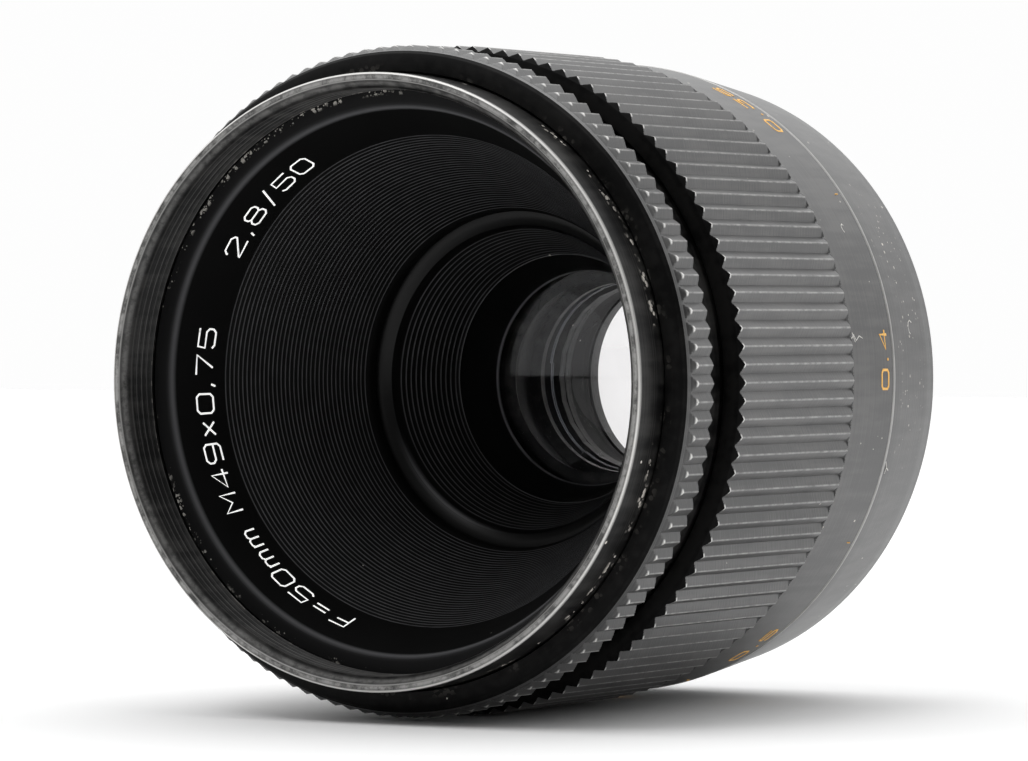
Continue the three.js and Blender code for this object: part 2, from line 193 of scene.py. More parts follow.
def shader(finish):
    return finish.tree.nodes["Principled BSDF"]


def feed(finish, **inputs):
    """Sets or links the surface's own sockets; underscores stand for spaces."""
    for name, given in inputs.items():
        socket = shader(finish).inputs[name.replace("_", " ")]
        if isinstance(given, Value):
            finish.tree.links.new(given.socket, socket)
        else:
            socket.default_value = given


TABLE_WIDTH = 3.2
deselect_all()
bpy.ops.mesh.primitive_plane_add(size=TABLE_WIDTH, location=(0, 0, 0))
table = bpy.context.object
table.name = "table"
white_board = material("white_board")
mottle = white_board.node("TexNoise", None, {"Scale": 40, "Detail": 6})
feed(
    white_board,
    Base_Color=white_board.mixed((0.88, 0.88, 0.88, 1), (0.93, 0.93, 0.93, 1), mottle),
    Roughness=0.9,
)
table.data.materials.append(white_board.owner)


# Front tube. A thin aluminium tube, turned and dyed black. Its front rim has a fine thread for a filter,
# and handling has worn the dye off the rim's edge. Behind the narrow ring it slides in the focus grip.
RIM_R = 25.45
BARREL_R = 25.9
FILTER_CREST_R = 24.15
FILTER_ROOT_R = 24.5
FILTER_PITCH = 0.75
THREAD_FROM = 0.95
THREAD_TO = 3.95
FINE_STEPS = 192
BARE_ALUMINIUM = (0.75, 0.74, 0.72, 1)
DUST = (0.7, 0.66, 0.6, 1)
DUSTY_SIDE = 2.1  # radians round the axis: the upper left, seen from the front


def turn(name, profile, body, replaced, steps=FINE_STEPS):
    """A turned piece. Its profile is a ring of [radius, distance back from the rim] in millimetres."""
    deselect_all()
    bpy.ops.mesh.primitive_circle_add(vertices=len(profile), radius=1)
    piece = bpy.context.object
    piece.name = name
    for vertex, (out, back) in zip(piece.data.vertices, profile):
        vertex.co = (out * MM, RIM_Y + back * MM, AXIS_Z)
    bpy.ops.object.mode_set(mode="EDIT")
    bpy.ops.mesh.select_all(action="SELECT")
    bpy.ops.mesh.spin(steps=steps, angle=2 * math.pi, center=(0, 0, AXIS_Z), axis=(0, 1, 0))
    bpy.ops.mesh.select_all(action="SELECT")
    bpy.ops.mesh.remove_doubles(threshold=2e-6)
    bpy.ops.mesh.delete_loose(use_faces=False)
    bpy.ops.mesh.select_all(action="SELECT")
    bpy.ops.mesh.normals_make_consistent(inside=False)
    bpy.ops.object.mode_set(mode="OBJECT")
    bpy.ops.object.shade_smooth_by_angle(angle=math.radians(28))
    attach(piece, body)
    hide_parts(*replaced)
    return piece


def thread(root, crest, start, end, pitch):
    """The profile of a V thread from start to end, as rings a pitch apart."""
    turns = round((end - start) / pitch)
    points = [(crest, start)]
    for i in range(turns):
        points += [(root, start + (i + 0.5) * pitch), (crest, start + (i + 1) * pitch)]
    return points


def coordinates(finish):
    """Distance out from the axis and back from the rim in millimetres, and the angle round, in radians."""
    place = finish.node("TexCoord", output="Object")
    x = finish.node("SeparateXYZ", None, {0: place})
    up = (x.other("Z") - AXIS_Z) * 1000
    back = (x.other("Y") - RIM_Y) * 1000
    across = x * 1000
    out = (across * across + up * up) ** 0.5
    return out, back, out.math("ARCTAN2", up, across)


def cloud(finish, size_mm, detail=4, stretch=(1, 1, 1), roughness=0.5):
    """Noise about 0.5 whose patches are about size_mm across."""
    place = finish.node("TexCoord", output="Object")
    placed = finish.node("Mapping", None, {"Vector": place, "Scale": stretch})
    inputs = {"Vector": placed, "Scale": 1000 / size_mm, "Detail": detail, "Roughness": roughness}
    return finish.node("TexNoise", None, inputs)


def specks(finish, cell_mm, spot, share):
    """Small round grains: one in each cell of cell_mm, spot cells wide, in that share of the cells."""
    place = finish.node("TexCoord", output="Object")
    cells = finish.node("TexVoronoi", None, {"Vector": place, "Scale": 1000 / cell_mm})
    chosen = finish.node("SeparateColor", None, {0: cells.other("Color")})
    return (cells < spot * chosen.other("Green")) * (chosen > 1 - share)


def turning_lines(finish, back, pitch_mm):
    """Fine rings left by the lathe tool, along the length of a piece."""
    inputs = {"W": back, "Scale": 1 / pitch_mm, "Detail": 3}
    return finish.node("TexNoise", {"noise_dimensions": "1D"}, inputs)


def bumped(finish, strength, height, depth=0.00002):
    """The normal of a surface with a relief up to depth metres deep."""
    inputs = {"Strength": strength, "Distance": depth, "Height": height}
    return finish.node("Bump", None, inputs, output="Normal")


def black_anodised(name, pale_marks=None, dusty=None, dye=0.01, roughness=0.36, ior=1.8):
    """Dyed aluminium. worn and dusty take the surface's coordinates and give masks from 0 to 1."""
    finish = material(name)
    out, back, around = coordinates(finish)
    patches = cloud(finish, 6, detail=5)
    fine = cloud(finish, 0.12, detail=3)
    lines = turning_lines(finish, back, 0.18)
    streaks = cloud(finish, 0.9, stretch=(1, 0.12, 1))
    mottled = (patches + streaks + lines).between(1.3, 1.75)
    dark = (dye * 0.4, dye * 0.4, dye * 0.42, 1)
    pale = (dye * 3.2, dye * 3.1, dye * 3, 1)
    colour = finish.mixed(dark, pale, mottled)
    gloss = roughness - 0.08 + 0.1 * patches + 0.06 * fine
    metal = 0.0
    if pale_marks:
        mask = pale_marks(finish, out, back, around)
        colour = finish.mixed(colour, BARE_ALUMINIUM, mask)
        gloss = gloss * (1 - mask) + 0.3 * mask
        metal = mask * 0.4
    grains = specks(finish, 1.3, 0.12, 0.06)
    if dusty:
        grains = grains | dusty(finish, out, back, around)
    colour = finish.mixed(colour, DUST, grains)
    gloss = gloss * (1 - grains) + 0.9 * grains
    bump = bumped(finish, 0.25, lines * 0.5 + fine * 0.5 + grains * 2)
    feed(finish, Base_Color=colour, Roughness=gloss, Metallic=metal, Normal=bump, IOR=ior)
    return finish.owner


def worn_rim(finish, out, back, around):
    land = out.near(25.05, 0.42) * (1 - back.between(0.02, 0.3))
    inner_edge = out.near(24.84, 0.1) * (1 - back.between(0.1, 0.35)) * 0.4
    outer_edge = out.near(25.36, 0.16) * (1 - back.between(0.15, 0.4))
    rubbed = cloud(finish, 1.1, detail=6, roughness=0.7).between(0.36, 0.6)
    crests = (1 - out.between(FILTER_CREST_R, 24.21)) * back.between(0.6, 1) * 0.08
    bevel = out.near(24.55, 0.3) * (1 - back.between(0.6, 0.85)) * (0.06 + 0.12 * rubbed)
    return (land * (0.1 + 0.35 * rubbed)) | inner_edge | outer_edge | crests | bevel


def corner_dust(finish, out, back, around):
    thread_end = back.near(4.15, 0.3) * (out < 24.7)
    outside_corner = back.near(3.3, 0.6) * (out > 25.4)
    clumps = (cloud(finish, 2.6) + around.near(DUSTY_SIDE, 0.7) * 0.12).between(0.47, 0.6)
    return specks(finish, 0.42, 0.75, 0.7) * clumps * (thread_end | outside_corner)


front_profile = (
    [(24.86, 0), (25.3, 0), (RIM_R, 0.15), (RIM_R, 8.55), (BARREL_R, 8.55), (BARREL_R, 29.6), (25.6, 29.9)]
    + [(24.5, 29.9), (24.5, 4.25), (FILTER_ROOT_R, 4.2)]
    + thread(FILTER_ROOT_R, FILTER_CREST_R, THREAD_FROM, THREAD_TO, FILTER_PITCH)[::-1]
    + [(24.2, 0.82), (24.72, 0.14)]
)
front_tube = turn("front_tube", front_profile, "lens_block", ["front_barrel"])
front_tube.data.materials.append(black_anodised("front_tube_dye", worn_rim, corner_dust, ior=1.3))


# Hood. A deep cone screwed into the tube from the front: a plain land that holds the engraved figures,
# then fine ring grooves down to the lens block, cut to trap stray light and sprayed matt black.
HOOD_MOUTH = 5.18
HOOD_MOUTH_R = 22.58
HOOD_THROAT = 23.8
HOOD_THROAT_R = 14.45
HOOD_SLOPE = (HOOD_MOUTH_R - HOOD_THROAT_R) / (HOOD_THROAT - HOOD_MOUTH)
MATT_DYE = 0.004
GROOVES_FROM = 9.76
GROOVES_TO = 23.4
HOOD_GROOVES = 34
GROOVE_DEPTH = 0.16


def hood_radius(back):
    return HOOD_MOUTH_R - (back - HOOD_MOUTH) * HOOD_SLOPE


def cone_grooves(radius_at, start, end, count, depth):
    """Ring grooves down a cone: a narrow land, then a groove with one steep and one sloping side."""
    pitch = (end - start) / count
    points = []
    for i in range(count):
        at = start + i * pitch
        points += [(radius_at(at), at), (radius_at(at + 0.3 * pitch), at + 0.3 * pitch)]
        points.append((radius_at(at + 0.45 * pitch) + depth, at + 0.45 * pitch))
    return points + [(radius_at(end), end)]


def lands(back, start, end, count):
    """1 on the narrow land in front of each groove of cone_grooves."""
    turns = (back - start) * (count / (end - start))
    return turns.math("FRACT", turns).near(0.17, 0.3) * (back > start - 0.02) * (back < end)


def matt_black(name, roughness=0.55, pale_marks=None, dusty=None, sheen=0.08):
    """Sprayed matt black, with a fine grain and a few grains of dust, and paler grey where a mask is given:
    on the hood and the retainer that is mostly painted highlight.
    """
    finish = material(name)
    out, back, around = coordinates(finish)
    patches = cloud(finish, 5, detail=5)
    fine = cloud(finish, 0.09, detail=2)
    colour = finish.mixed((MATT_DYE * 0.8,) * 3 + (1,), (MATT_DYE * 1.3,) * 3 + (1,), patches)
    if pale_marks:
        # Paler grey under the mask: painted highlights on the hood and the retainer.
        colour = finish.mixed(colour, (0.22, 0.22, 0.23, 1), pale_marks(finish, out, back, around))
    grains = specks(finish, 1.6, 0.08, 0.05)
    if dusty:
        grains = grains | dusty(finish, out, back, around)
    colour = finish.mixed(colour, (0.5, 0.48, 0.44, 1), grains)
    gloss = roughness - 0.06 + 0.12 * patches
    bump = bumped(finish, 0.3, fine)
    feed(finish, Base_Color=colour, Roughness=gloss, Normal=bump, Specular_IOR_Level=sheen)
    return finish.owner


# Pale marks on the hood: a paler band at its mouth, and painted highlights on the narrow lands between the
# grooves.
def hood_pale_mouth_and_rib_highlights(finish, out, back, around):
    uneven = 0.4 + 0.9 * cloud(finish, 1.5)
    painted_rib_highlights = lands(back, GROOVES_FROM, GROOVES_TO, HOOD_GROOVES) * uneven * 0.45
    return (back.near(4.9, 0.42) * 0.4) | painted_rib_highlights


def hood_dust(finish, out, back, around):
    clumps = (cloud(finish, 2.2) + around.near(DUSTY_SIDE, 0.8) * 0.16).between(0.5, 0.6)
    return specks(finish, 0.36, 0.8, 0.8) * clumps * back.near(4.5, 0.35) * out.between(23.7, 24)


hood_profile = (
    [(24.25, 4.55), (24.25, 5.7), (23.25, 5.7), (15.1, 24.3), (HOOD_THROAT_R, 24.3)]
    + [(HOOD_THROAT_R, HOOD_THROAT)]
    + cone_grooves(hood_radius, GROOVES_FROM, GROOVES_TO, HOOD_GROOVES, GROOVE_DEPTH)[::-1]
    + [(HOOD_MOUTH_R, HOOD_MOUTH), (22.8, 4.75), (22.95, 4.6), (23.2, 4.55)]
)
ribbed_hood = turn("ribbed_hood", hood_profile, "lens_block", ["hood_cone"])
ribbed_hood.data.materials.append(matt_black("hood_black", pale_marks=hood_pale_mouth_and_rib_highlights, dusty=hood_dust))


# Engraved figures. A pantograph cuts each stroke with one round tool, so the strokes are all one width
# and their corners are cut short. White paint fills them in the hood, orange paint on the focus scale.
STROKES = {
    "0": [[(1, 0), (5, 0), (6, 1), (6, 5), (5, 6), (1, 6), (0, 5), (0, 1), (1, 0)]],
    "1": [[(2, 4.6), (3.6, 6), (3.6, 0)]],
    "2": [[(0, 4.6), (0, 5), (1, 6), (5, 6), (6, 5), (6, 4.2), (0.2, 0.4), (0, 0), (6, 0)]],
    "3": [[(0, 6), (6, 6), (3, 3.4), (5, 3.4), (6, 2.4), (6, 1), (5, 0), (1, 0), (0, 1)]],
    "4": [[(4.5, 0), (4.5, 6), (0, 1.7), (6, 1.7)]],
    "5": [[(6, 6), (0.4, 6), (0, 3.4), (5, 3.4), (6, 2.5), (6, 1), (5, 0), (1, 0), (0, 0.8)]],
    "6": [[(5.5, 6), (1, 6), (0, 5), (0, 1), (1, 0), (5, 0), (6, 1), (6, 2.4), (5, 3.4), (0, 3.4)]],
    "7": [[(0, 6), (6, 6), (2.2, 0)]],
    "8": [
        [(1, 3.1), (0.3, 3.9), (0.3, 5.2), (1.2, 6), (4.8, 6), (5.7, 5.2), (5.7, 3.9), (5, 3.1), (1, 3.1)],
        [(1, 3.1), (0, 2.2), (0, 0.9), (1, 0), (5, 0), (6, 0.9), (6, 2.2), (5, 3.1)],
    ],
    "9": [[(0.5, 0), (5, 0), (6, 1), (6, 5), (5, 6), (1, 6), (0, 5), (0, 3.6), (1, 2.6), (6, 2.6)]],
    ",": [[(3, 0.5), (2.4, -1)]],
    "point": [[(2.7, 0.3), (3.3, 0.3)], [(3, 0), (3, 0.6)]],
    "/": [[(1.4, -0.8), (4.6, 6.8)]],
    "=": [[(0.6, 2), (5.4, 2)], [(0.6, 4), (5.4, 4)]],
    "F": [[(0.4, 0), (0.4, 6), (6, 6)], [(0.4, 3.2), (4.8, 3.2)]],
    "M": [[(0, 0), (0, 6), (3, 2.4), (6, 6), (6, 0)]],
    "x": [[(1, 0.6), (5, 4.6)], [(1, 4.6), (5, 0.6)]],
    "m": [
        [(0, 0), (0, 4)],
        [(0, 3.2), (0.8, 4), (2.2, 4), (3, 3.2), (3, 0)],
        [(3, 3.2), (3.8, 4), (5.2, 4), (6, 3.2), (6, 0)],
    ],
    "8 lying": [
        [(3, 3), (1.6, 4.6), (0.6, 4.4), (0, 3), (0.6, 1.6), (1.6, 1.4), (3, 3)],
        [(3, 3), (4.4, 4.6), (5.4, 4.4), (6, 3), (5.4, 1.6), (4.4, 1.4), (3, 3)],
    ],
    "dot": [[(2.9, 3), (3.1, 3)]],
    "line": [[(3, -2.5), (3, 8.5)]],
    " ": [],
}
NARROW = {",": 0.45, "point": 0.5, "/": 0.75, " ": 0.6, "x": 0.9}
GLYPH_SQUARES = 6
PAINT_FLATNESS = 0.35
HOOD_FIGURE_MIDDLE = 7.85  # how far back from the rim the middle of the figures is
HOOD_FIGURE_HEIGHT = 1.65
HOOD_FIGURE_SPACING = 2.28
HOOD_STROKE = 0.18


def engrave(name, signs, height, stroke, spacing, surface, body, slot, widen=1):
    """Strokes laid on a surface: surface(along, up) gives the point and the outward normal, in metres."""
    deselect_all()
    curve = bpy.data.curves.new(name, "CURVE")
    curve.dimensions = "3D"
    unit = height / GLYPH_SQUARES
    widths = [spacing * NARROW.get(sign, 1) for sign in signs]
    start = -sum(widths) / 2
    for sign, width in zip(signs, widths):
        for line in STROKES[sign]:
            spline = curve.splines.new("POLY")
            spline.points.add(len(line) - 1)
            for point, (across, up) in zip(spline.points, line):
                along = start + width / 2 + (across - GLYPH_SQUARES / 2) * unit * widen
                point.co = (along, (up - GLYPH_SQUARES / 2) * unit, 0, 1)
        start += width
    curve.bevel_depth = stroke / 2
    curve.bevel_resolution = 2
    curve.use_fill_caps = True
    piece = bpy.data.objects.new(name, curve)
    bpy.context.scene.collection.objects.link(piece)
    piece.select_set(True)
    bpy.context.view_layer.objects.active = piece
    bpy.ops.object.convert(target="MESH")
    piece = bpy.context.object
    for vertex in piece.data.vertices:
        flat = vertex.co.copy()
        point, normal = surface(flat.x, flat.y)
        vertex.co = point + normal * flat.z * PAINT_FLATNESS * MM
    bpy.ops.object.mode_set(mode="EDIT")
    bpy.ops.mesh.select_all(action="SELECT")
    bpy.ops.mesh.normals_make_consistent(inside=False)
    bpy.ops.object.mode_set(mode="OBJECT")
    bpy.ops.object.shade_smooth()
    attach(piece, body)
    return piece


def on_hood(angle):
    """Figures on the hood read clockwise, seen from the front, with their tops toward the rim."""
    tilt = math.atan(HOOD_SLOPE)

    def place(along, up):
        back = HOOD_FIGURE_MIDDLE - up * math.cos(tilt)
        radius = hood_radius(back)
        turned = angle - along / hood_radius(HOOD_FIGURE_MIDDLE)
        out = Vector((math.cos(turned), 0, math.sin(turned)))
        point = Vector((0, RIM_Y, AXIS_Z)) + (out * radius + Vector((0, back, 0))) * MM
        return point, -out * math.cos(tilt) - Vector((0, math.sin(tilt), 0))

    return place


def paint(name, colour, roughness, painted_glow=0):
    """Thick engraving paint, black where it has lifted. It gives off light of its own, which is painted light
    that keeps it bright in the dark hood.
    """
    finish = material(name)
    thick = cloud(finish, 0.5)
    worn_away = cloud(finish, 0.3, detail=3).between(0.62, 0.7)
    pale = tuple(min(1, part * 1.15) for part in colour) + (1,)
    deep = tuple(part * 0.75 for part in colour) + (1,)
    shade = finish.mixed(finish.mixed(deep, pale, thick), (0.03, 0.03, 0.03, 1), worn_away * 0.5)
    bump = bumped(finish, 0.4, thick, 0.00003)
    feed(finish, Base_Color=shade, Roughness=roughness + 0.15 * thick, Normal=bump)
    feed(finish, Emission_Color=shade, Emission_Strength=painted_glow)
    return finish.owner


# The white paint glows: painted light that keeps the figures bright in the dark hood.
white_paint = paint("white_paint", (0.88, 0.88, 0.86), 0.45, painted_glow=0.8)
hood_texts = [
    ("hood_aperture_figures", "2,8/50", 135.3),
    ("hood_thread_figures", "F=50mm M49x0,75", 210),
]
for name, signs, degrees in hood_texts:
    sizes = (HOOD_FIGURE_HEIGHT, HOOD_STROKE, HOOD_FIGURE_SPACING)
    figures = engrave(name, signs, *sizes, on_hood(math.radians(degrees)), "lens_block", "matt_black")
    figures.data.materials.append(white_paint)


# Front retainer. A second, narrower ribbed cone that screws in behind the hood and holds the front glass.
# Between its two ends lies the same fine grooving, and its mouth is a smooth turned step.
RETAINER_MOUTH = 25.5
RETAINER_MOUTH_R = 13.12
RETAINER_THROAT = 36.8
RETAINER_THROAT_R = 9.4
RETAINER_FROM = 26
RETAINER_TO = 32.5
RETAINER_GROOVES = 12
RETAINER_GROOVE_DEPTH = 0.18


def retainer_radius(back):
    drop = (back - RETAINER_MOUTH) * (RETAINER_MOUTH_R - RETAINER_THROAT_R)
    return RETAINER_MOUTH_R - drop / (RETAINER_THROAT - RETAINER_MOUTH)


retainer_profile = (
    [(14.2, 24.6), (14.9, 24.6), (14.9, 25.3), (13.4, 25.3), (13.4, 37), (RETAINER_THROAT_R, 37)]
    + [(RETAINER_THROAT_R, RETAINER_THROAT)]
    + [(9.5, 36.6), (retainer_radius(33.6) + 0.1, 33.6), (retainer_radius(32.8) + 0.25, 32.8)]
    + cone_grooves(
        retainer_radius, RETAINER_FROM, RETAINER_TO, RETAINER_GROOVES, RETAINER_GROOVE_DEPTH
    )[::-1]
    + [(RETAINER_MOUTH_R, RETAINER_MOUTH), (13.3, 25.1), (13.8, 24.75)]
)


# Painted highlights on the retainer: pale lands between the grooves, bright lines at the end of the grooving
# and at the glass rim, and a bright arc on the mouth at the lower left.
def retainer_painted_highlights(finish, out, back, around):
    uneven = 0.4 + 0.9 * cloud(finish, 1.5)
    painted_rib_highlights = lands(back, RETAINER_FROM, RETAINER_TO, RETAINER_GROOVES) * uneven * 0.6
    painted_highlight_arc = back.near(25.15, 0.4) * around.near(-2.25, 0.6) * turning_lines(finish, back, 0.1)
    return painted_rib_highlights | (back.near(RETAINER_TO, 0.1) * 0.8) | (back.near(36.72, 0.18) * (out < 9.62)) | painted_highlight_arc


ribbed_retainer = turn(
    "ribbed_retainer", retainer_profile, "lens_block", ["front_retainer"]
)
ribbed_retainer.data.materials.append(
    matt_black("retainer_black", roughness=0.36, pale_marks=retainer_painted_highlights, sheen=0.2)
)


# Lens block metal. The cells and rings that hold the glass, turned and dyed black inside and out.
# They show through the glass from the front, and through the rear opening.
INNER_STEPS = 128
block_metal = black_anodised("block_dye", dye=0.008, roughness=0.5, ior=1.35)


def inside(name, profile, replaced, finish=block_metal):
    piece = turn(name, profile, "lens_block", [replaced], INNER_STEPS)
    piece.data.materials.append(finish)
    return piece


def second_finish(piece, finish, chosen):
    """Gives a finish to the faces for which chosen(distance back, normal) is true."""
    piece.data.materials.append(finish)
    for face in piece.data.polygons:
        if chosen((face.center.y - RIM_Y) / MM, face.normal):
            face.material_index = 1


inside(
    "front_cell_body",
    [(13.6, 25.6), (15, 25.6), (15, 42.6), (9.95, 42.6), (9.95, 44.5), (8, 44.5), (8, 44.1), (9, 44.1)]
    + [(9, 39.65), (11.1, 39.65), (11.1, 37.2), (13.6, 37.2)],
    "front_cell",
)
spacer_profile = [(8.2, 39.05), (10.9, 39.05), (10.9, 39.6), (8.4, 39.6)]
inside("glass_spacer", spacer_profile, "spacer_ring")
rear_cell_outline = [(8, 47), (15.9, 47), (15.9, 48), (10.4, 48), (10.4, 53.9), (10.1, 54.2), (8.9, 54.2)]
inside("rear_cell_body", rear_cell_outline + [(8.8, 54.1), (8.8, 47.7), (8, 47.7)], "rear_cell")
inside(
    "rear_retainer_ring",
    [(8.5, 52.35), (8.72, 52.3), (8.72, 53.8), (8.68, 53.9), (8.55, 53.9), (8.5, 53.6)],
    "rear_retainer",
)


# Glass. Four polished elements, two in front of the iris and a cemented pair behind it.
# Their faces have thin blue and amber coatings, and their ground edges are painted matt black.
GLASS_IOR = 1.25  # real glass has about 1.5, which would bend the view through the lens further
FRONT_EDGE = 10.9
SECOND_EDGE = 8.8
REAR_EDGE = 8.6


def sphere_face(vertex, radius, edge, steps=24):
    """Points of a spherical face from the edge to the axis; a positive radius bulges forward."""
    points = []
    for i in range(steps, -1, -1):
        out = edge * i / steps
        sag = math.copysign(abs(radius) - math.sqrt(radius * radius - out * out), radius)
        points.append((out, vertex + sag))
    return points


def coated_glass(name, coat_tint):
    """Clear polished glass with a thin tinted coating, a few grains of dust and faint smears."""
    finish = material(name)
    smears = cloud(finish, 7, detail=5)
    grains = specks(finish, 0.9, 0.06, 0.05)
    feed(
        finish,
        Base_Color=finish.mixed((1, 1, 1, 1), (0.5, 0.5, 0.5, 1), grains),
        Roughness=0.006 * smears.between(0.45, 0.75),
        Transmission_Weight=1.0,
        IOR=GLASS_IOR,
        Coat_Weight=0.06 * (0.7 + 0.3 * smears),
        Coat_IOR=1.5,
        Coat_Tint=coat_tint,
        Coat_Roughness=0.02,
    )
    return finish.owner


front_glass = coated_glass("blue_coated_glass", (0.86, 0.9, 1, 1))
rear_glass = coated_glass("amber_coated_glass", (1, 0.9, 0.82, 1))
glass_outlines = [
    (
        "front_glass",
        sphere_face(34.9, 20.4, FRONT_EDGE) + [(0, 38.9), (10.7, 38.9), (FRONT_EDGE, 38.7)],
        "front_element",
        front_glass,
    ),
    (
        "second_glass",
        sphere_face(40.9, -34, SECOND_EDGE) + sphere_face(42.3, 24, SECOND_EDGE)[::-1],
        "second_element",
        front_glass,
    ),
    (
        "third_glass",
        [(0, 47.9), (REAR_EDGE, 47.9)] + sphere_face(49.15, 22, REAR_EDGE),
        "third_element",
        rear_glass,
    ),
    (
        "fourth_glass",
        sphere_face(49.25, 22, REAR_EDGE) + sphere_face(53.4, -25, REAR_EDGE)[::-1],
        "fourth_element",
        rear_glass,
    ),
]
edge_black = matt_black("edge_black")
for name, outline, replaced, finish in glass_outlines:
    element = inside(name, outline, replaced, finish)
    second_finish(element, edge_black, lambda back, normal: abs(normal.y) < 0.1)


# Narrow ring. The aperture ring: a smooth sloping face in front, then a short band of straight ridges
# like the grip's. Fingers have rubbed the dye off the front corners. Its front face and rear end face take a
# darker, duller copy of the dye, which is painted shade.
RIDGES = 118
STEPS_PER_RIDGE = 8
NARROW_VALLEY_R = 27.45
NARROW_CREST_R = 27.9
CREST_FLAT = 1.02


def cut_ridges(piece, valley, crest, front, rear, runout):
    """Cuts straight V grooves from front to rear, which run out at 45 degrees over the last runout."""
    for vertex in piece.data.vertices:
        across = vertex.co.x
        up = vertex.co.z - AXIS_Z
        out = math.hypot(across, up) / MM
        back = (vertex.co.y - RIM_Y) / MM
        phase = (math.atan2(up, across) + math.pi / 2) / (2 * math.pi) * RIDGES % 1
        rise = min(1, (1 - abs(2 * phase - 1)) * CREST_FLAT)
        limit = valley + (crest - valley) * rise + max(0, back - (rear - runout))
        if front <= back <= rear and out > limit:
            share = limit / out
            vertex.co.x = across * share
            vertex.co.z = AXIS_Z + up * share
    piece.data.update()
    deselect_all()
    piece.select_set(True)
    bpy.context.view_layer.objects.active = piece
    bpy.ops.object.shade_smooth_by_angle(angle=math.radians(20))


def line(start, end, parts):
    """Points from start up to, but not with, end."""
    return [
        (start[0] + (end[0] - start[0]) * i / parts, start[1] + (end[1] - start[1]) * i / parts)
        for i in range(parts)
    ]


def worn_ridges(crest, front_corner):
    """Bright crests, brightest at their front corners."""

    def mask(finish, out, back, around):
        rubbed = cloud(finish, 0.8, detail=5, roughness=0.65)
        crests = out.between(crest - 0.07, crest - 0.02) * (0.1 + 0.3 * rubbed.between(0.3, 0.7))
        corners = back.near(front_corner, 0.26) * out.between(crest - 0.2, crest - 0.08)
        return crests | (corners * rubbed.between(0.28, 0.46))

    return mask


narrow_profile = (
    [(25.65, 3.8), (26.2, 3.84), (26.8, 3.98), (27.15, 4.15), (27.37, 4.38), (27.46, 4.62)]
    + line((27.48, 4.7), (NARROW_CREST_R, 5.3), 8)
    + line((NARROW_CREST_R, 5.3), (NARROW_CREST_R, 7.9), 3)
    + line((NARROW_CREST_R, 7.9), (27.6, 8.1), 3)
    + [(27.5, 8.1), (25.65, 8.1)]
)
ridge_steps = RIDGES * STEPS_PER_RIDGE
narrow_ring = turn("narrow_ring", narrow_profile, "aperture_control", ["aperture_ring"], ridge_steps)
cut_ridges(narrow_ring, NARROW_VALLEY_R, NARROW_CREST_R, 4.69, 8.11, 0)
# A darker, duller copy of the dye for faces turned to the camera or into the gaps between rings: painted
# shade.
painted_shade_dye = black_anodised("painted_shade_dye", dusty=corner_dust, dye=0.002, roughness=0.5, ior=1.2)
narrow_ring.data.materials.append(
    black_anodised("narrow_ring_dye", worn_ridges(NARROW_CREST_R, 5.32), corner_dust)
)
second_finish(narrow_ring, painted_shade_dye, lambda back, normal: back < 4.3 or normal.y > 0.7)


# Focus grip. The broad ridged ring that turns to focus, with a flat front face and, behind, a plain skirt
# that carries the distance scale. It is turned in one piece with the skirt, ridged, then dyed.
GRIP_VALLEY_R = 27.7
GRIP_CREST_R = 28.15
GRIP_BORE_R = 26.2
SKIRT_R = 27.65
SKIRT_END = 40.8

grip_profile = (
    [(GRIP_BORE_R, 12.6), (GRIP_BORE_R + 0.15, 12.45), (27.6, 12.6), (27.7, 12.63)]
    + line((27.73, 12.65), (GRIP_CREST_R, 12.85), 6)
    + line((GRIP_CREST_R, 12.85), (GRIP_CREST_R, 32.45), 6)
    + line((GRIP_CREST_R, 32.45), (SKIRT_R, 33.2), 8)
    + [(SKIRT_R, 33.22), (SKIRT_R, SKIRT_END - 0.05), (SKIRT_R - 0.04, SKIRT_END), (GRIP_BORE_R, SKIRT_END)]
)
grip = turn("grip_ring", grip_profile, "focus_ring", ["focus_grip"], ridge_steps)
cut_ridges(grip, GRIP_VALLEY_R, GRIP_CREST_R, 12.4, 33.21, 0.55)


def worn_grip(finish, out, back, around):
    ridges = worn_ridges(GRIP_CREST_R, 12.9)(finish, out, back, around)
    run_out = back.near(33.05, 0.3) * out.between(SKIRT_R - 0.05, SKIRT_R + 0.05) * 0.25
    return ridges | run_out


def skirt_dust(finish, out, back, around):
    return specks(finish, 0.8, 0.16, 0.16) * cloud(finish, 5).between(0.47, 0.57) * back.between(31, 35)


grip.data.materials.append(black_anodised("grip_dye", worn_grip, skirt_dust, dye=0.014))
# The grip's faces turned to the front, near its front end, take the same painted shade.
second_finish(grip, painted_shade_dye, lambda back, normal: back < 14 and normal.y < -0.4)


# Distance scale. Orange figures in metres run round the skirt, tops toward the front, with dots between.
# They meet an index line on the fixed barrel: the lying 8 at rest, and 0.3 at the end of the turn.
SCALE_BACK = 39.3
SCALE_HEIGHT = 1.25
SCALE_SPACING = 2.3
SCALE_WIDENING = 1.3
SCALE_STROKE = 0.25
INDEX_DEGREES = 141.4
# The orange paint glows a little too: painted light.
orange_paint = paint("orange_paint", (0.95, 0.5, 0.12), 0.5, painted_glow=0.15)
scale_signs = [
    (["0", "point", "3"], 121.4),
    (["0", "point", "3", "5"], 58.5),
    (["0", "point", "4"], 3.6),
    (["0", "point", "5"], -57.3),
    (["0", "point", "6"], -90.3),
    (["0", "point", "8"], -127.4),
    (["1"], -147.7),
    (["2"], -185.1),
    (["8 lying"], INDEX_DEGREES),
]
scale_dots = [90, 35.2, -30.6, -73, -109, -165]


def on_barrel(angle, radius, middle):
    """Figures on the outside read upward on the right-hand side, with their tops toward the front."""

    def place(along, up):
        turned = angle + along / radius
        out = Vector((math.cos(turned), 0, math.sin(turned)))
        return Vector((0, RIM_Y, AXIS_Z)) + (out * radius + Vector((0, middle - up, 0))) * MM, out

    return place


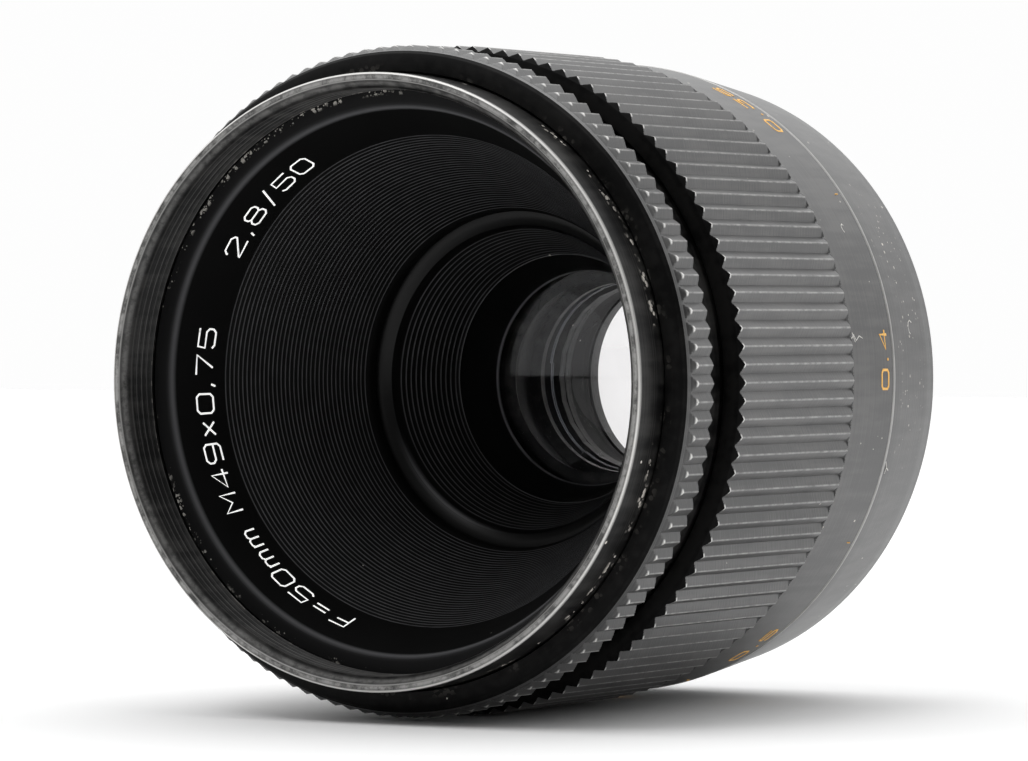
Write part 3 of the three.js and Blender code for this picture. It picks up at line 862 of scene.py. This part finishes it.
def add_barrel_sign(
    name, signs, degrees, middle=SCALE_BACK, radius=SKIRT_R, body="focus_ring", stroke=SCALE_STROKE
):
    place = on_barrel(math.radians(degrees), radius, middle)
    sizes = (SCALE_HEIGHT, stroke, SCALE_SPACING)
    sign = engrave(name, signs, *sizes, place, body, "anodised_black", SCALE_WIDENING)
    sign.data.materials.append(orange_paint)


for number, (signs, degrees) in enumerate(scale_signs, 1):
    add_barrel_sign(f"scale_figure_{number}", signs, degrees)
for number, degrees in enumerate(scale_dots, 1):
    add_barrel_sign(f"scale_dot_{number}", ["dot"], degrees, middle=39.9, stroke=0.55)


# Fixed barrel. The part that screws to the camera and never turns: a black band that tapers to the rear
# edge, parted from the skirt by a thin bright line. An index line on it reads the scale.
def worn_barrel(finish, out, back, around):
    front_edge = back.near(40.98, 0.3) * (0.35 + 0.5 * cloud(finish, 2.5))
    rear_edge = back.between(50.75, 50.95) * (1 - back.between(51.1, 51.3))
    scratches = cloud(finish, 0.35, detail=2, stretch=(1, 0.25, 1)).between(0.7, 0.74) * 0.4
    patch = cloud(finish, 9).between(0.55, 0.62)
    return front_edge | (rear_edge * cloud(finish, 1.5).between(0.45, 0.6) * 0.7) | (scratches * patch)


def barrel_dust(finish, out, back, around):
    patch = back.near(45.5, 5) * around.near(0.2, 0.9)
    return specks(finish, 0.5, 0.3, 0.45) * cloud(finish, 3.5).between(0.38, 0.55) * patch


barrel_profile = (
    [(26, 40.9), (27.6, 40.9), (27.7, 41.0)]
    + line((27.7, 41.02), (26.6, 50.8), 5)
    + [(26.6, 50.8), (26.35, 51.22), (26.2, 51.3), (25.35, 51.3), (25.35, 46.7), (24.85, 46.7)]
    + [(24.85, 39), (26, 39)]
)
fixed_barrel = turn("fixed_barrel", barrel_profile, "mount_barrel", ["base_barrel"])
fixed_barrel.data.materials.append(black_anodised("barrel_dye", worn_barrel, barrel_dust, dye=0.014))
add_barrel_sign("index_line", ["line"], INDEX_DEGREES, 43.2, 27.45, "mount_barrel", 0.3)


# Lint. A few pale fibres and crumbs of dust cling to the skirt and to the fixed barrel.
# Each is a thin bent strand that lies on the metal and moves with it.
FIBRE_STROKE = 0.1
STROKES["bent fibre"] = [[(3, 0), (3.5, 1.5), (2.5, 3), (3.8, 4), (3, 5), (3.4, 6)], [(2.2, 3.6), (4.2, 4.6)]]
STROKES["hooked fibre"] = [[(0, 3), (1, 4), (3, 4.4), (5, 3.6), (6, 2), (5, 0.6)]]
STROKES["forked fibre"] = [[(6, 5), (3, 3), (0, 3.6)], [(3, 3), (1.6, 0.5)]]
fibres = [
    ("bent fibre", 7.4, 34.2, SKIRT_R, 2.4, "focus_ring"),
    ("hooked fibre", 28.0, 37.6, SKIRT_R, 0.8, "focus_ring"),
    ("forked fibre", -16.0, 41.6, 27.68, 1.1, "mount_barrel"),
    ("hooked fibre", 9.5, 45.6, 27.2, 1.2, "mount_barrel"),
]
lint = paint("lint", (0.8, 0.78, 0.74), 0.8)
for number, (shape, degrees, middle, radius, length, body) in enumerate(fibres, 1):
    place = on_barrel(math.radians(degrees), radius, middle)
    sizes = (length, FIBRE_STROKE, length)
    fibre = engrave(f"fibre_{number}", [shape], *sizes, place, body, "anodised_black")
    fibre.data.materials.append(lint)


# Mount. A bright turned ring set into the barrel, with the screw thread that goes into the camera,
# and behind it a black baffle that hides the sliding block.
def turned_metal(name, colour, roughness):
    """Bare turned metal, with fine tool rings, a few handling marks and duller patches."""
    finish = material(name)
    out, back, around = coordinates(finish)
    rings = turning_lines(finish, back + out, 0.12)
    patches = cloud(finish, 4, detail=5)
    stains = cloud(finish, 1.2).between(0.55, 0.75)
    bright = tuple(min(1, part * 1.08) for part in colour) + (1,)
    dull = tuple(part * 0.8 for part in colour) + (1,)
    stained = tuple(part * 0.5 for part in colour) + (1,)
    shade = finish.mixed(finish.mixed(dull, bright, patches), stained, stains * 0.35)
    gloss = roughness + 0.12 * patches + 0.1 * stains
    feed(finish, Base_Color=shade, Roughness=gloss, Metallic=1.0, Normal=bumped(finish, 0.35, rings))
    return finish.owner


aluminium = turned_metal("bare_aluminium", (0.72, 0.72, 0.73), 0.24)
brass = turned_metal("bare_brass", (0.72, 0.52, 0.24), 0.26)
steel = turned_metal("bright_steel", (0.6, 0.6, 0.62), 0.22)
blued_steel = turned_metal("blued_steel", (0.07, 0.075, 0.085), 0.38)

MOUNT_R = 21
mount_profile = (
    [(19.3, 49.9), (25.1, 49.9), (25.1, 51.2), (25.0, 51.3), (21.1, 51.3), (20.4, 51.4), (20.4, 51.9)]
    + thread(20.45, MOUNT_R, 52.0, 55.0, 1)
    + [(20.5, 55.6), (20.3, 55.8), (19.5, 55.8), (19.3, 55.6)]
)
mount = turn("mount_tail", mount_profile, "mount_barrel", ["mount_ring"])
mount.data.materials.append(aluminium)
baffle_profile = (
    [(12.6, 51.7), (12.7, 51.6), (19.0, 51.6), (19.0, 52.1), (18.6, 52.1)]
    + [(12.7, 52.1), (12.6, 52.0)]
)
baffle = turn("baffle_plate", baffle_profile, "mount_barrel", ["rear_baffle"])
baffle.data.materials.append(matt_black("baffle_black"))


# Screws. Small slotted screws that pin the grip to its sleeve, the mount ring to the barrel, and the narrow
# ring to its fork. Each is a short turned pin with a bevelled head and a milled slot.
HIDDEN_SCREW_DEGREES = [100, 180, 260]


def slotted_screw(name, radius, top, depth, angle, back, body, replaced):
    """A screw that points out from the axis; top is how far out its head is."""
    deselect_all()
    bpy.ops.mesh.primitive_cylinder_add(vertices=32, radius=radius * MM, depth=depth * MM)
    screw = bpy.context.object
    screw.name = name
    edge = screw.modifiers.new("edge", "BEVEL")
    edge.width = 0.12 * radius * MM
    edge.segments = 2
    edge.limit_method = "ANGLE"
    bpy.ops.object.modifier_apply(modifier="edge")
    slot_size = (3 * radius * MM, 0.3 * radius * MM, 0.5 * radius * MM)
    bpy.ops.mesh.primitive_cube_add(size=1, location=(0, 0, depth * MM / 2))
    cutter = bpy.context.object
    cutter.scale = slot_size
    milled = screw.modifiers.new("slot", "BOOLEAN")
    milled.object = cutter
    milled.operation = "DIFFERENCE"
    deselect_all()
    screw.select_set(True)
    bpy.context.view_layer.objects.active = screw
    bpy.ops.object.modifier_apply(modifier="slot")
    bpy.data.objects.remove(cutter)
    tool_turn = Matrix.Rotation(slot_turns.uniform(0, math.pi), 4, "Z")
    lay = Matrix.Rotation(math.pi / 2, 4, "Y")
    swing = Matrix.Rotation(-angle, 4, "Y")
    out = Vector((math.cos(angle), 0, math.sin(angle))) * (top - depth / 2) * MM
    place = Matrix.Translation(Vector((0, RIM_Y + back * MM, AXIS_Z)) + out)
    screw.data.transform(place @ swing @ lay @ tool_turn)
    bpy.ops.object.shade_smooth_by_angle(angle=math.radians(30))
    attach(screw, body)
    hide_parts(replaced)
    screw.data.materials.append(steel)


slot_turns = random.Random(4)
for number, degrees in enumerate(HIDDEN_SCREW_DEGREES, 1):
    angle = math.radians(degrees)
    grip_screw = (f"grip_screw_{number}", 0.65, SKIRT_R + 0.03, 2.4, angle, 35.6)
    slotted_screw(*grip_screw, "focus_ring", f"grip_set_screw_{number}")
    rear_screw = (f"rear_screw_{number}", 0.45, 26.72, 1.2, angle, 50.2)
    slotted_screw(*rear_screw, "mount_barrel", f"mount_screw_{number}")
ring_screw = ("ring_screw", 0.55, 27.25, 1.4, math.pi / 2, 6.7)
slotted_screw(*ring_screw, "aperture_control", "aperture_screw")


# Works. The pieces inside keep their plain solids: steel blades and pins, brass sleeves, and dyed iris parts.
# They are seen only past the edges of the glass, through the rear opening, or with the lens run out.
works = {
    "steel_bare": steel,
    "brass_bare": brass,
    "blade_steel": blued_steel,
    "anodised_inner": block_metal,
    "aluminium_bare": aluminium,
}
slots = {row["node"]: row["material_slot"] for row in frame["record"]["subparts"]}
for name, node in nodes.items():
    if node.hide_render:
        continue
    node.data.materials.clear()
    node.data.materials.append(works.get(slots[name], block_metal))
